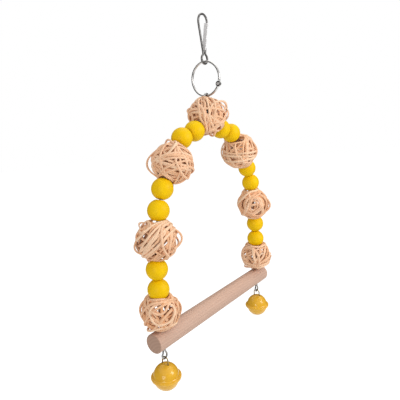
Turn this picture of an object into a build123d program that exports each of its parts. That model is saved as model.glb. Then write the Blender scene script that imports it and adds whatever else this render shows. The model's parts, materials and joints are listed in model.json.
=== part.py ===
"""A hanging bird swing: a dowel perch under a wire arch strung with rattan balls and wooden beads.

The origin is the middle of the clip's hook, where a cage bar carries the swing. X runs along the perch,
Y runs across the arch and Z points up. Sizes are in millimetres and angles in degrees.
"""
from build123d import *
import os
from math import acos, atan, atan2, cos, degrees, hypot, pi, radians, sin, sqrt

# Perch: a turned dowel with an upright hole near each end
perch_length = 150.0
perch_diameter = 14.0
perch_edge_round = 1.0
foot_inset = 9.0
perch_hole_clearance = 0.2

# Arch: one wire, bent at its sides and shoulders, with its two ends drawn together under the top eye
arch_wire_diameter = 1.3
side_turn = 40.0
shoulder_radius = 26.5
top_run = 9.0
throat_radius = 8.0
neck_gap = 0.4
top_eye_bore = 4.4
top_eye_shoulder = 2.5

# Eyes below the perch that the bells hang on
foot_tail = 1.2
foot_eye_bore = 3.4
foot_eye_shoulder = 6.0

# Wooden beads
bead_diameter = 15.0
bead_length = 14.0
bead_hole_clearance = 1.0
bead_hole_round = 0.4
bead_sink = 4.0
lower_bead_sink = 7.0

# Rattan balls: strands that run round the ball in layers, clear of the openings
ball_diameter = 32.5
lower_ball_diameter = 30.5
strand_width = 2.2
strand_thickness = 1.4
strand_step = 0.14
strand_count = 9
top_bead_dip = 32.0
top_mouth_spare = 3.0

# Running gaps between pieces that touch or turn on each other
seat_gap = 0.3
link_gap = 0.15
overrun = 1.0

# Hinged ring
ring_diameter = 26.0
ring_wire_diameter = 1.6
ring_sink = 2.9
ring_hinge_dip = 22.0
ring_lug_diameter = 3.8
ring_lug_thickness = 0.8
ring_lug_gap = 0.1
ring_pin_diameter = 1.0
ring_pin_clearance = 0.05
ring_head_diameter = 2.0
ring_head_thickness = 0.4
ring_tongue_diameter = 0.8
ring_tongue_length = 1.6
ring_tongue_clearance = 0.15

# Spring clip: a hook of round wire with a flat leaf for a gate
clip_length = 35.6
clip_width = 11.8
clip_wire_diameter = 1.5
clip_nose = 2.5
clip_side_run = 1.0
clip_bend_radius = 3.0
clip_pinch_gap = 1.0
clip_eye_bore = 5.2
clip_eye_shoulder = 2.0
clip_upstand = 3.0
gate_width = 3.0
gate_thickness = 0.5
gate_barrel_diameter = 1.5
gate_overlap = 1.9

# Jingle bells: two pressed shells that meet at a flange, a wire loop and a loose pellet
bell_diameter = 18.5
bell_straight = 0.7
bell_wall = 0.6
bell_flange_blend = 1.1
bell_flange_width = 0.65
bell_flange_thickness = 1.0
bell_flange_round = 0.55
bell_top_gap = 3.4
bell_slit_width = 1.6
bell_slit_hole = 2.6
bell_slit_reach = 38.0
bell_loop_width = 6.2
bell_loop_wire_diameter = 0.9
bell_loop_clearance = 0.05
bell_loop_tail = 1.0
bell_pellet_diameter = 4.6

# Half sizes
perch_radius = perch_diameter / 2
foot_half = perch_length / 2 - foot_inset
arch_radius = arch_wire_diameter / 2
bead_radius = bead_diameter / 2
ball_radius = ball_diameter / 2
lower_ball_radius = lower_ball_diameter / 2
ring_wire_radius = ring_wire_diameter / 2
ring_radius = ring_diameter / 2 - ring_wire_radius
clip_radius = clip_wire_diameter / 2
hook_radius = clip_width / 2 - clip_radius
barrel_radius = gate_barrel_diameter / 2
bell_radius = bell_diameter / 2
loop_radius = bell_loop_wire_diameter / 2
loop_half = bell_loop_width / 2 - loop_radius
pellet_radius = bell_pellet_diameter / 2

golden_angle = 180 * (3 - sqrt(5))


def solve(rising, low, high):
    """Halve a span until it closes on the place where a rising function passes zero."""
    while high - low > abs(high) * 1e-9:
        middle = (low + high) / 2
        if rising(middle) < 0:
            low = middle
        else:
            high = middle
    return (low + high) / 2


def place_along(moves, start, length):
    """Place on a wire that rises from its start through runs (length, 0) and bends (radius, turn).

    Past its last move the wire runs straight on. Places are complex numbers, sideways plus 1j times upwards.
    """
    place, heading = start, 1j
    for size, turn in moves:
        whole = size * radians(abs(turn)) if turn else size
        part = min(length, whole)
        if turn:
            side = 1j if turn > 0 else -1j
            swing = heading * (cos(part / size) + side * sin(part / size))
            place, heading = place + side * size * (heading - swing), swing
        else:
            place += part * heading
        length -= part
    return place + length * heading


def eye_shape(wire_diameter, neck, bore, shoulder):
    """Radius, shoulder turn and height of a keyhole eye, along the middle of its wire."""
    radius = (bore + wire_diameter) / 2
    half_neck = (neck + wire_diameter) / 2
    turn = degrees(acos((half_neck + shoulder) / (shoulder + radius)))
    return radius, turn, (shoulder + radius) * sin(radians(turn)) + radius


def bead_seat(radius, sink):
    """Distance from the middle of a ball to the middle of a bead that sinks into its opening."""
    return radius + bead_radius - sink


def strand_corner(radius):
    """Distance from the middle of a ball to the edge of its outermost strand."""
    return hypot(radius, strand_width / 2)


def mouth_angle(radius, sink):
    """Half angle of the opening that a bead sits in, seen from the middle of the ball."""
    corner, seat = strand_corner(radius), bead_seat(radius, sink)
    return degrees(acos((corner**2 + seat**2 - (bead_radius + seat_gap) ** 2) / (2 * corner * seat)))


# Arch from the perch's axis up: leg, side, shoulder, level run and throat
neck_half = (arch_wire_diameter + neck_gap) / 2
shoulder_end = neck_half + throat_radius + top_run
side_lean = cos(radians(side_turn))
side_radius = (foot_half - shoulder_end - shoulder_radius * side_lean) / (1 - side_lean)


def arch_moves(leg):
    """Runs and bends of one side of the arch, from the perch's axis to the neck of the top eye."""
    return [
        (leg, 0),
        (side_radius, side_turn),
        (shoulder_radius, 90 - side_turn),
        (top_run, 0),
        (throat_radius, -90),
    ]


def bead_on_wire(leg, length):
    """Middle and hole direction of a bead at a length along the wire."""
    moves = arch_moves(leg)
    ends = (length - bead_length / 2, length, length + bead_length / 2)
    before, middle, after = (place_along(moves, foot_half, end) for end in ends)
    return (2 * middle + before + after) / 4, (after - before) / abs(after - before)


def bead_reach(axis, line):
    """How far a bead with flat ends reaches towards a neighbour that lies along a line."""
    lean = abs((axis.conjugate() * line).imag) / abs(line)
    flat = sqrt(bead_radius**2 - (bead_length / 2) ** 2)
    return min(bead_length / 2 * sqrt(1 - lean**2) + flat * lean, bead_radius)


def bead_spacing(first, second):
    """Distance that two beads side by side on the wire keep between their middles."""
    line = second[0] - first[0]
    return bead_reach(first[1], line) + bead_reach(second[1], line) + seat_gap


def ball_spacing(first, second):
    """Distance that the two beads of a ball keep between their middles."""
    return 2 * bead_seat(ball_radius, bead_sink)


lower_mouth = radians(mouth_angle(lower_ball_radius, lower_bead_sink))
lower_ball_height = perch_radius + seat_gap + strand_corner(lower_ball_radius) * cos(lower_mouth)
first_bead_height = lower_ball_height + bead_seat(lower_ball_radius, lower_bead_sink)
bead_spacings = [bead_spacing, ball_spacing, bead_spacing, ball_spacing, bead_spacing]


def string_beads(leg):
    """Beads of one leg from the perch up, each against the last one or against the ball between them."""
    length = first_bead_height
    beads = [bead_on_wire(leg, length)]
    for spacing in bead_spacings:
        last = beads[-1]

        def too_far(step):
            bead = bead_on_wire(leg, step)
            return abs(bead[0] - last[0]) - spacing(last, bead)

        length = solve(too_far, length, length + pi * bead_seat(ball_radius, bead_sink))
        beads.append(bead_on_wire(leg, length))
    return beads


# The legs are as long as the strung pieces need to bring the last bead to the top ball's side
top_seat = bead_seat(ball_radius, bead_sink)
last_bead_out = top_seat * cos(radians(top_bead_dip))


def too_long(leg):
    """How far outside the top ball's side the last bead ends for a height of the straight leg."""
    return string_beads(leg)[-1][0].real - last_bead_out


leg_height = solve(too_long, perch_radius, 4 * foot_half)
beads = string_beads(leg_height)
top_ball_height = beads[-1][0].imag + top_seat * sin(radians(top_bead_dip))

# Heights above the perch's axis, from the top ball up to the clip
ring_low = top_ball_height + ball_radius + seat_gap + ring_wire_radius - ring_sink
ring_height = ring_low + ring_radius
top_eye_height = ring_low + ring_wire_radius + arch_radius + link_gap
clip_eye_height = ring_height + ring_radius - ring_wire_radius - clip_radius - link_gap
hang_height = clip_eye_height - clip_radius + clip_length - clip_width / 2
arch_plane = Plane(origin=(0, 0, -hang_height), x_dir=(1, 0, 0), z_dir=(0, -1, 0))


def spot(out, height):
    """Point in the arch's plane, out along the perch and up from its axis."""
    return Vector(out, 0, height - hang_height)


def wire_piece(plane, start, heading, moves, diameter):
    """A round wire bent in one plane through runs (length, 0) and tangent bends (radius, turn)."""
    place = plane.from_local_coords(start)
    direction = plane.from_local_coords(heading) - plane.origin
    with BuildPart() as wire:
        with BuildLine(plane) as path:
            for size, turn in moves:
                if turn:
                    stretch = JernArc(place, direction, size, turn)
                else:
                    stretch = Line(place, place + direction * size)
                place, direction = stretch @ 1, stretch % 1
        with BuildSketch(Plane(origin=path.line @ 0, z_dir=path.line % 0)):
            Circle(diameter / 2)
        sweep()
    return wire


def save(piece, name):
    """Label a finished piece and write it under its name."""
    piece.part.label = name
    export_step(piece.part, f"parts/{name}.step")


os.makedirs("parts", exist_ok=True)

# Perch
with BuildPart() as perch:
    with BuildSketch(Plane.YZ.offset(-perch_length / 2)):
        with Locations((0, -hang_height)):
            Circle(perch_radius)
    extrude(amount=perch_length)
    fillet(perch.edges().filter_by(GeomType.CIRCLE), radius=perch_edge_round)
    with BuildSketch(Plane.XY.offset(-hang_height)):
        with GridLocations(2 * foot_half, 0, 2, 1):
            Circle(arch_radius + perch_hole_clearance)
    extrude(amount=perch_diameter, both=True, mode=Mode.SUBTRACT)
save(perch, "perch")

# Arch wire, from the tail below one end of the perch to the top eye and down the other side
foot_eye = eye_shape(arch_wire_diameter, neck_gap, foot_eye_bore, foot_eye_shoulder)
foot_ring, foot_turn, foot_eye_rise = foot_eye
top_eye = eye_shape(arch_wire_diameter, neck_gap, top_eye_bore, top_eye_shoulder)
top_ring, top_turn, top_eye_rise = top_eye
foot_neck = perch_radius + seat_gap + foot_tail
throat_height = leg_height + side_radius * sin(radians(side_turn))
throat_height += shoulder_radius * (1 - sin(radians(side_turn))) + throat_radius
half_arch = [
    (foot_tail, 0),
    (foot_eye_shoulder, -foot_turn),
    (foot_ring, 180 + 2 * foot_turn),
    (foot_eye_shoulder, -foot_turn),
    (foot_neck, 0),
    *arch_moves(leg_height),
    (top_eye_height - top_eye_rise - throat_height, 0),
    (top_eye_shoulder, -top_turn),
    (top_ring, 90 + top_turn),
]
tail_end = (foot_half - 2 * neck_half, -perch_radius - seat_gap)
arch_wire = wire_piece(arch_plane, tail_end, (0, -1), half_arch + half_arch[::-1], arch_wire_diameter)
save(arch_wire, "arch_wire")


def bead(middle, axis):
    """A wooden bead with flat ends and a round hole."""
    with BuildPart(Plane(origin=middle, z_dir=axis)) as turned:
        Sphere(bead_radius)
        Cylinder(bead_diameter, bead_length, mode=Mode.INTERSECT)
        Cylinder(arch_radius + bead_hole_clearance, bead_diameter, mode=Mode.SUBTRACT)
        rims = turned.edges().filter_by(GeomType.CIRCLE).sort_by(SortBy.RADIUS)[:2]
        fillet(rims, radius=bead_hole_round)
    return turned


def strand_normals(openings, twist):
    """Directions across evenly spread strands that pass clear of every opening (direction, half angle)."""
    clear = []
    candidates = 4000
    for index in range(candidates):
        rise = (index + 0.5) / candidates
        across = sqrt(1 - rise**2)
        turn = radians(index * golden_angle + twist)
        normal = Vector(across * cos(turn), across * sin(turn), rise)
        if all(abs(normal.dot(way)) >= sin(radians(angle)) for way, angle in openings):
            clear.append(normal)
    chosen = [min(clear, key=lambda normal: abs(normal.dot(openings[0][0])))]
    while len(chosen) < strand_count:
        chosen.append(max(clear, key=lambda normal: min(1 - abs(normal.dot(other)) for other in chosen)))
    return chosen


def rattan_ball(middle, radius, openings, crowns, twist):
    """A hollow ball of flat strands in layers, with one more strand round each opening.

    The strands pass clear of the openings and are cut where they cross a crown.
    """
    with BuildPart() as ball:
        for layer, normal in enumerate(strand_normals(openings, twist)):
            outside = radius - layer * strand_step
            with BuildSketch(Plane(origin=middle, z_dir=normal)):
                Circle(outside)
                Circle(outside - strand_thickness, mode=Mode.SUBTRACT)
            extrude(amount=strand_width / 2, both=True)
        for way, angle in crowns:
            with BuildSketch(Plane(origin=middle, z_dir=way)):
                Circle(radius * sin(radians(angle)))
            extrude(amount=ball_diameter, mode=Mode.SUBTRACT)
        for way, angle in openings + crowns:
            across = way.cross(Vector(0, 1, 0))
            depth = radius - (strand_thickness + strand_step) / 2
            with BuildSketch(Plane(origin=middle, x_dir=across, z_dir=across.cross(way))):
                with Locations((depth * sin(radians(angle)), depth * cos(radians(angle)))):
                    Rectangle(strand_width, strand_thickness, rotation=-angle)
            revolve(axis=Axis(middle, way))
    return ball


def opening(way, radius, angle):
    """Opening of a ball, with the half width of the strands that pass it added."""
    return way.normalized(), angle + degrees(atan(strand_width / 2 / radius))


# Beads and balls of each leg, from the perch up
ball_names = ["lower_ball", "middle_ball", "upper_ball"]
for side, leg_name in ((-1, "left"), (1, "right")):
    centres = [spot(side * centre.real, centre.imag) for centre, axis in beads]
    for number, (centre, (place, axis)) in enumerate(zip(centres, beads), 1):
        save(bead(centre, Vector(side * axis.real, 0, axis.imag)), f"{leg_name}_bead_{number}")
    low = spot(side * foot_half, lower_ball_height)
    ball_spots = [(low, centres[0] - low, lower_ball_radius, lower_bead_sink)]
    for below, above in ((1, 2), (3, 4)):
        between = (centres[below] + centres[above]) / 2
        ball_spots.append((between, centres[above] - centres[below], ball_radius, bead_sink))
    for number, (middle, axis, radius, sink) in enumerate(ball_spots):
        twist = (number + side) * golden_angle
        mouths = [opening(way, radius, mouth_angle(radius, sink)) for way in (axis, -axis)]
        ball = rattan_ball(middle, radius, mouths, [], twist)
        save(ball, f"{leg_name}_{ball_names[number]}")

# Top ball, open to the beads at its sides and to the eye and the ring that dip into its crown
top_ball_middle = spot(0, top_ball_height)
side_mouth = mouth_angle(ball_radius, bead_sink) + top_mouth_spare
eye_mouth = degrees(atan((top_ring + arch_radius + seat_gap) / ball_radius))
ring_rise = ring_height - top_ball_height
crown_radius = ball_radius + 2 * seat_gap
dip_height = (ring_rise**2 + crown_radius**2 - (ring_radius + ring_wire_radius) ** 2) / (2 * ring_rise)
ring_mouth = degrees(acos(min(dip_height / crown_radius, 1)))
side_openings = [
    opening(spot(side * last_bead_out, beads[-1][0].imag) - top_ball_middle, ball_radius, side_mouth)
    for side in (-1, 1)
]
crown = opening(Vector(0, 0, 1), ball_radius, max(eye_mouth, ring_mouth))
top_ball = rattan_ball(top_ball_middle, ball_radius, side_openings, [crown], 0)
save(top_ball, "top_ball")

# Hinged ring across the arch, its hinge at the front
ring_plane = Plane(origin=spot(0, ring_height), x_dir=(0, 1, 0), z_dir=(1, 0, 0))
hinge_turn = radians(180 + ring_hinge_dip)
ring_hinge = ring_plane.from_local_coords((ring_radius * cos(hinge_turn), ring_radius * sin(hinge_turn)))
hinge_plane = Plane(origin=ring_hinge, x_dir=(0, 1, 0), z_dir=(1, 0, 0))
snap_gap_angle = degrees(link_gap / ring_radius)


def ring_half(start, turn, side):
    """Half of the ring with its hinge lug; side tells which way along X the lug lies."""
    with BuildPart() as half:
        with BuildLine(ring_plane) as path:
            CenterArc((0, 0), ring_radius, start, turn)
        with BuildSketch(Plane(origin=path.line @ 0, z_dir=path.line % 0)):
            Circle(ring_wire_radius)
        sweep()
        with BuildSketch(hinge_plane.offset(side * ring_lug_gap / 2)):
            Circle(ring_lug_diameter / 2 + link_gap)
        extrude(amount=-side * ring_wire_diameter, mode=Mode.SUBTRACT)
        with BuildSketch(hinge_plane.offset(side * ring_lug_gap / 2)):
            Circle(ring_lug_diameter / 2)
        extrude(amount=side * ring_lug_thickness)
        with BuildSketch(hinge_plane):
            Circle(ring_pin_diameter / 2 + ring_pin_clearance)
        extrude(amount=ring_lug_gap + ring_lug_thickness, both=True, mode=Mode.SUBTRACT)
    return half


# Upper half, with the tongue of the snap
upper_wire = ring_half(ring_hinge_dip, 180, 1)
snap = radians(ring_hinge_dip)
snap_end = ring_plane.from_local_coords((ring_radius * cos(snap), ring_radius * sin(snap)))
snap_plane = Plane(origin=snap_end, z_dir=(0, sin(snap), -cos(snap)))
with BuildPart() as ring_upper_half:
    add(upper_wire.part)
    with BuildSketch(snap_plane):
        Circle(ring_tongue_diameter / 2)
    extrude(amount=ring_tongue_length)
save(ring_upper_half, "ring_upper_half")

# Lower half, with the socket of the snap
lower_wire = ring_half(180 + ring_hinge_dip, 180 - snap_gap_angle, -1)
with BuildPart() as ring_lower_half:
    add(lower_wire.part)
    with BuildSketch(snap_plane):
        Circle(ring_tongue_diameter / 2 + ring_tongue_clearance)
    extrude(amount=ring_tongue_length + 2 * link_gap, mode=Mode.SUBTRACT)
save(ring_lower_half, "ring_lower_half")

# Rivet of the ring's hinge
head_start = ring_lug_gap / 2 + ring_lug_thickness + ring_pin_clearance
with BuildPart() as ring_hinge_pin:
    with BuildSketch(hinge_plane):
        Circle(ring_pin_diameter / 2)
    extrude(amount=head_start, both=True)
    for side in (-1, 1):
        with BuildSketch(hinge_plane.offset(side * head_start)):
            Circle(ring_head_diameter / 2)
        extrude(amount=side * ring_head_thickness)
save(ring_hinge_pin, "ring_hinge_pin")

# Clip wire: nose, hook, slanting back, eye and the short upstand beside the gate
clip_eye = eye_shape(clip_wire_diameter, clip_pinch_gap, clip_eye_bore, clip_eye_shoulder)
clip_ring, clip_turn, clip_eye_rise = clip_eye
clip_neck_half = (clip_wire_diameter + clip_pinch_gap) / 2
pinch_height = clip_eye_height - hang_height + clip_eye_rise
back_in = hook_radius - clip_neck_half
back_down = -pinch_height - clip_side_run
back_run = sqrt(back_in**2 + back_down**2 - 4 * clip_bend_radius * back_in)
back_turn = degrees(2 * atan2(back_in, back_down + back_run))
clip_moves = [
    (clip_nose, 0),
    (hook_radius, 180),
    (clip_side_run, 0),
    (clip_bend_radius, back_turn),
    (back_run, 0),
    (clip_bend_radius, -back_turn),
    (clip_eye_shoulder, -clip_turn),
    (clip_ring, 180 + 2 * clip_turn),
    (clip_eye_shoulder, -clip_turn - back_turn),
    (clip_upstand, 0),
]
clip_wire = wire_piece(Plane.XZ, (hook_radius, -clip_nose), (0, 1), clip_moves, clip_wire_diameter)
save(clip_wire, "clip_wire")

# Gate: a flat leaf whose rolled foot turns in the fork above the pinch, with its tip inside the nose
fork_room = clip_radius + barrel_radius + link_gap - clip_neck_half * cos(radians(back_turn))
gate_pivot_height = pinch_height + fork_room / sin(radians(back_turn))
gate_pivot_height += clip_bend_radius * sin(radians(back_turn) / 2) / cos(radians(back_turn) / 2)
gate_foot = Vector(0, gate_pivot_height)
gate_tip = Vector(hook_radius - clip_radius - link_gap - gate_thickness / 2, gate_overlap - clip_nose)
gate_line = gate_tip - gate_foot
gate_lean = degrees(atan2(gate_line.Y, gate_line.X))
with BuildPart() as clip_gate:
    with BuildSketch(Plane.XZ):
        with Locations(gate_foot):
            Circle(barrel_radius)
        with Locations((gate_foot + gate_tip) / 2):
            SlotCenterToCenter(gate_line.length, gate_thickness, rotation=gate_lean)
    extrude(amount=gate_width / 2, both=True)
save(clip_gate, "clip_gate")

# Bells: places under the middle of each eye below the perch
bell_out = foot_half - neck_half
bell_pivot_height = -foot_neck - foot_eye_rise
bell_height = bell_pivot_height - arch_radius - bell_top_gap - bell_radius - bell_straight
inner_radius = bell_radius - bell_wall
blend_height = bell_flange_thickness + bell_flange_blend
blend_out = sqrt((bell_radius + bell_flange_blend) ** 2 - (blend_height - bell_straight) ** 2)
blend_turn = degrees(atan2(blend_height - bell_straight, blend_out))
flange_radius = blend_out + bell_flange_width
loop_top = bell_pivot_height + arch_radius + loop_radius + link_gap
loop_foot = bell_height + bell_straight + sqrt(inner_radius**2 - loop_half**2) - bell_loop_tail
pellet_drop = bell_straight + inner_radius - pellet_radius - seat_gap


def bell_shell(middle, way):
    """One pressed half of a bell with its flange; way is 1 for the cap and -1 for the cup below it."""
    with BuildPart() as shell:
        with BuildSketch(Plane(origin=middle, x_dir=(1, 0, 0), z_dir=(0, -way, 0))):
            with BuildLine():
                CenterArc((0, bell_straight), bell_radius, blend_turn, 90 - blend_turn)
                CenterArc((blend_out, blend_height), bell_flange_blend, 180 + blend_turn, 90 - blend_turn)
                CenterArc((0, bell_straight), inner_radius, 0, 90)
                Line((0, bell_straight + inner_radius), (0, bell_straight + bell_radius))
                Polyline(
                    (blend_out, bell_flange_thickness),
                    (flange_radius, bell_flange_thickness),
                    (flange_radius, 0),
                    (inner_radius, 0),
                    (inner_radius, bell_straight),
                )
            make_face()
        revolve(axis=Axis(middle, (0, 0, 1)))
        edge = shell.edges().filter_by(GeomType.CIRCLE).group_by(SortBy.RADIUS)[-1]
        fillet(edge.sort_by(Axis.Z)[-1 if way > 0 else 0], radius=bell_flange_round)
    return shell


for side, leg_name in ((-1, "left"), (1, "right")):
    middle = spot(side * bell_out, bell_height)
    cap_shell = bell_shell(middle, 1)
    with BuildPart() as bell_cap:
        add(cap_shell.part)
        with BuildSketch(Plane(origin=middle)):
            with GridLocations(0, 2 * loop_half, 1, 2):
                Circle(loop_radius + bell_loop_clearance)
        extrude(amount=bell_diameter, mode=Mode.SUBTRACT)
    save(bell_cap, f"{leg_name}_bell_cap")

    cup_shell = bell_shell(middle, -1)
    with BuildPart() as bell_cup:
        add(cup_shell.part)
        dome = middle - Vector(0, 0, bell_straight)
        slit_half = bell_radius * sin(radians(bell_slit_reach))
        slit_top = bell_radius * cos(radians(bell_slit_reach))
        with BuildSketch(Plane(origin=dome - Vector(0, 0, slit_top))):
            Rectangle(2 * slit_half, bell_slit_width)
            Rectangle(bell_slit_width, 2 * slit_half)
        extrude(amount=-bell_radius, mode=Mode.SUBTRACT)
        for way in ((1, 0), (-1, 0), (0, 1), (0, -1)):
            out = Vector(way[0] * slit_half, way[1] * slit_half, -slit_top)
            with BuildSketch(Plane(origin=dome + out, z_dir=out)):
                Circle(bell_slit_hole / 2)
            extrude(amount=bell_wall + overrun, both=True, mode=Mode.SUBTRACT)
    save(bell_cup, f"{leg_name}_bell_cup")

    loop_rise = loop_top - loop_half - loop_foot
    loop_plane = Plane(origin=spot(side * bell_out, loop_foot), x_dir=(0, 1, 0), z_dir=(1, 0, 0))
    loop_moves = [(loop_rise, 0), (loop_half, -180), (loop_rise, 0)]
    bell_loop = wire_piece(loop_plane, (-loop_half, 0), (0, 1), loop_moves, bell_loop_wire_diameter)
    save(bell_loop, f"{leg_name}_bell_loop")

    with BuildPart(Plane(origin=middle - Vector(0, 0, pellet_drop))) as bell_pellet:
        Sphere(pellet_radius)
    save(bell_pellet, f"{leg_name}_bell_pellet")
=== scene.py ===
"""Looks of a hanging bird swing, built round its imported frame.

Sizes in the dataclasses are millimetres and angles are degrees. Meshes are in metres, in the frame's axes:
X along the perch, Y across the arch, Z up, with the origin in the middle of the clip's hook.
"""
import json
import logging
import math
import random
from dataclasses import dataclass, field
from enum import Enum
from functools import cache

import bmesh
import bpy
from bmesh.types import BMesh, BMVert
from bpy.types import ID, Material, Mesh, Node, NodeSocket, NodeTree, Object
from mathutils import Euler, Matrix, Vector

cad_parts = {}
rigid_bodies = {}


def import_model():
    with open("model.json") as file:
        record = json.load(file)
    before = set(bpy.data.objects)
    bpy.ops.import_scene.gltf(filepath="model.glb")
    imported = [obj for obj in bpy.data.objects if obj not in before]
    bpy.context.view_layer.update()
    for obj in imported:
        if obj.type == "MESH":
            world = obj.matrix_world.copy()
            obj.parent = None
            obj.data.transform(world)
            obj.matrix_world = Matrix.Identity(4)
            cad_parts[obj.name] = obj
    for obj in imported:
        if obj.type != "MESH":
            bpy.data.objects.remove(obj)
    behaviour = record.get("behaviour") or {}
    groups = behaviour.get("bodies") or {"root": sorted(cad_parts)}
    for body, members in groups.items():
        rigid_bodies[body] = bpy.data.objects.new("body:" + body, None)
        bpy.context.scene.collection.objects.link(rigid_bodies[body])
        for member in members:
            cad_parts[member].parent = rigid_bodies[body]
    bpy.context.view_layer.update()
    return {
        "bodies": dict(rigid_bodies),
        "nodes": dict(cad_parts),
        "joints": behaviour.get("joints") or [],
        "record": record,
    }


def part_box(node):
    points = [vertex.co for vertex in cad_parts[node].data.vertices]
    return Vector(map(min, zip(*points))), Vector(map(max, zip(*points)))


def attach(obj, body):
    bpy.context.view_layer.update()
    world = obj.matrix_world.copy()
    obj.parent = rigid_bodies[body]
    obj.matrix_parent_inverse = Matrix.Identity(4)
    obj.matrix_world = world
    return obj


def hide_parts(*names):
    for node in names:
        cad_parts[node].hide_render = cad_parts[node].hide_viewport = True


LOG = logging.getLogger("bird_swing")
MM = 0.001
FULL_TURN = 2 * math.pi
GOLDEN_ANGLE = math.pi * (3 - math.sqrt(5))
STRAND_UV = "strand"
TONE = "tone"
WHITE = (1, 1, 1, 1)

Pair = tuple[float, float]
Triple = tuple[float, float, float]
Colour = Triple
Stops = tuple[tuple[float, Colour], ...]
Wave = tuple[int, float, float, float]


class Side(Enum):
    """The two legs of the arch; the left one is near the camera."""

    LEFT = "left"
    RIGHT = "right"


class Stopper(Enum):
    """What holds an opening of a rattan ball open."""

    BEAD = "bead"
    PERCH = "perch"
    RING = "ring"


class Tree:
    """Short hand for filling one shader node tree."""

    def __init__(self, tree: NodeTree) -> None:
        """Start on the emptied tree of a material, a world or a group."""
        self.tree = tree
        self.tree.nodes.clear()

    def add(self, kind: str, values: dict | None = None, **settings) -> Node:
        """Add a node.

        Args:
            kind: The node's type without its ShaderNode prefix, or a full type name.
            values: What feeds its inputs, by their names or indices.
            settings: Attributes of the node.

        Returns:
            The new node.
        """
        full = kind if kind.startswith("Node") else f"ShaderNode{kind}"
        node = self.tree.nodes.new(full)
        for name, value in settings.items():
            setattr(node, name, value)
        self.feed(node, values or {})
        return node

    def feed(self, node: Node, values: dict) -> None:
        """Feed a node's inputs, by their names or indices, from output sockets or with plain values."""
        for name, value in values.items():
            if isinstance(value, NodeSocket):
                self.tree.links.new(value, node.inputs[name])
            else:
                node.inputs[name].default_value = value

    def math(self, operation: str, first, second=0.0, clamp: bool = False) -> NodeSocket:
        """Work on two sockets or plain numbers; a clamped result is held between 0 and 1."""
        return self.add("Math", {0: first, 1: second}, operation=operation, use_clamp=clamp).outputs[0]

    def blend(self, share, low: Colour, high: Colour) -> NodeSocket:
        """Mix two colours by a share that is 0 for the first and 1 for the second."""
        return self.ramp(share, ((0.0, low), (1.0, high)))

    def ramp(self, share, stops: Stops) -> NodeSocket:
        """Spread linear colours, each at its place in rising order, over a share between 0 and 1."""
        node = self.add("ValToRGB", {"Fac": share})
        elements = node.color_ramp.elements
        while len(elements) < len(stops):
            elements.new(1.0)
        for element, (place, colour) in zip(elements, stops):
            element.position = place
            element.color = (*colour, 1.0)
        return node.outputs["Color"]

    def spread(self, share, low: float, high: float) -> NodeSocket:
        """Stretch a share between 0 and 1 to run from low to high."""
        return self.add("MapRange", {"Value": share, "To Min": low, "To Max": high}).outputs["Result"]

    def noise(self, place, scale, detail: float, roughness: float, distortion: float = 0.0) -> NodeSocket:
        """Spread noise over a place, its scale a socket or a plain number."""
        values = {"Vector": place, "Scale": scale, "Detail": detail, "Roughness": roughness}
        return self.add("TexNoise", {**values, "Distortion": distortion}).outputs["Fac"]

    def bump(self, height: NodeSocket, strength: float, depth: float) -> NodeSocket:
        """Turn a height into a normal, by its strength as a share and its depth in millimetres."""
        values = {"Height": height, "Strength": strength, "Distance": depth * MM}
        return self.add("Bump", values).outputs["Normal"]

    def group(self, made: NodeTree, **values) -> bpy.types.NodeOutputs:
        """Place a node group and return its outputs."""
        return self.add("Group", values, node_tree=made).outputs

    def seen(self) -> NodeSocket:
        """Return a share that is 1 for rays that show a surface, directly or as a reflection."""
        path = self.add("LightPath").outputs
        share = self.math("ADD", path["Is Camera Ray"], path["Is Glossy Ray"])
        return self.math("ADD", share, path["Is Transmission Ray"], clamp=True)


def blank_material(name: str) -> tuple[Material, Tree]:
    """Return a new material and its emptied node tree."""
    material = bpy.data.materials.new(name)
    material.use_nodes = True
    return material, Tree(material.node_tree)


def filled_mesh(name: str, bm: BMesh) -> Mesh:
    """Return a new mesh with what a bmesh holds, which is freed."""
    mesh = bpy.data.meshes.new(name)
    bm.to_mesh(mesh)
    bm.free()
    return mesh


def placed(name: str, data: ID) -> Object:
    """Return a new object in the scene for a mesh, a lamp or a camera."""
    made = bpy.data.objects.new(name, data)
    bpy.context.scene.collection.objects.link(made)
    return made


def opened_group(name: str, settings: tuple[str, ...], results: tuple[str, ...]) -> tuple[Tree, Node, Node]:
    """Start a node group for finishes to share.

    Args:
        name: The group's name.
        settings: Names of its inputs beside Vector.
        results: Names of its outputs.

    Returns:
        Its tree, its input node and its output node.
    """
    group = bpy.data.node_groups.new(name, "ShaderNodeTree")
    tree = Tree(group)
    group.interface.new_socket("Vector", in_out="INPUT", socket_type="NodeSocketVector")
    for sockets, way in ((settings, "INPUT"), (results, "OUTPUT")):
        for socket in sockets:
            group.interface.new_socket(socket, in_out=way, socket_type="NodeSocketFloat")
    return tree, tree.add("NodeGroupInput"), tree.add("NodeGroupOutput")


@cache
def fibre_group() -> NodeTree:
    """Streaks along the first axis of a coordinate, for wood and rattan.

    Returns:
        A group with inputs Vector, Along and Across and outputs Streak and Height.
    """
    tree, start, end = opened_group("fibre_streaks", ("Along", "Across"), ("Streak", "Height"))
    place, along, across = (start.outputs[name] for name in ("Vector", "Along", "Across"))
    scale = tree.add("CombineXYZ", {"X": along, "Y": across, "Z": across}).outputs["Vector"]
    scaled = tree.add("VectorMath", {0: place, 1: scale}, operation="MULTIPLY").outputs["Vector"]
    broad = tree.noise(scaled, scale=1.0, detail=4.0, roughness=0.6, distortion=0.3)
    fine = tree.noise(scaled, scale=4.0, detail=3.0, roughness=0.7)
    height = tree.math("MULTIPLY", tree.math("ADD", broad, fine), 0.5)
    tree.feed(end, {"Streak": tree.spread(broad, -0.35, 1.35), "Height": height})
    return tree.tree


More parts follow.
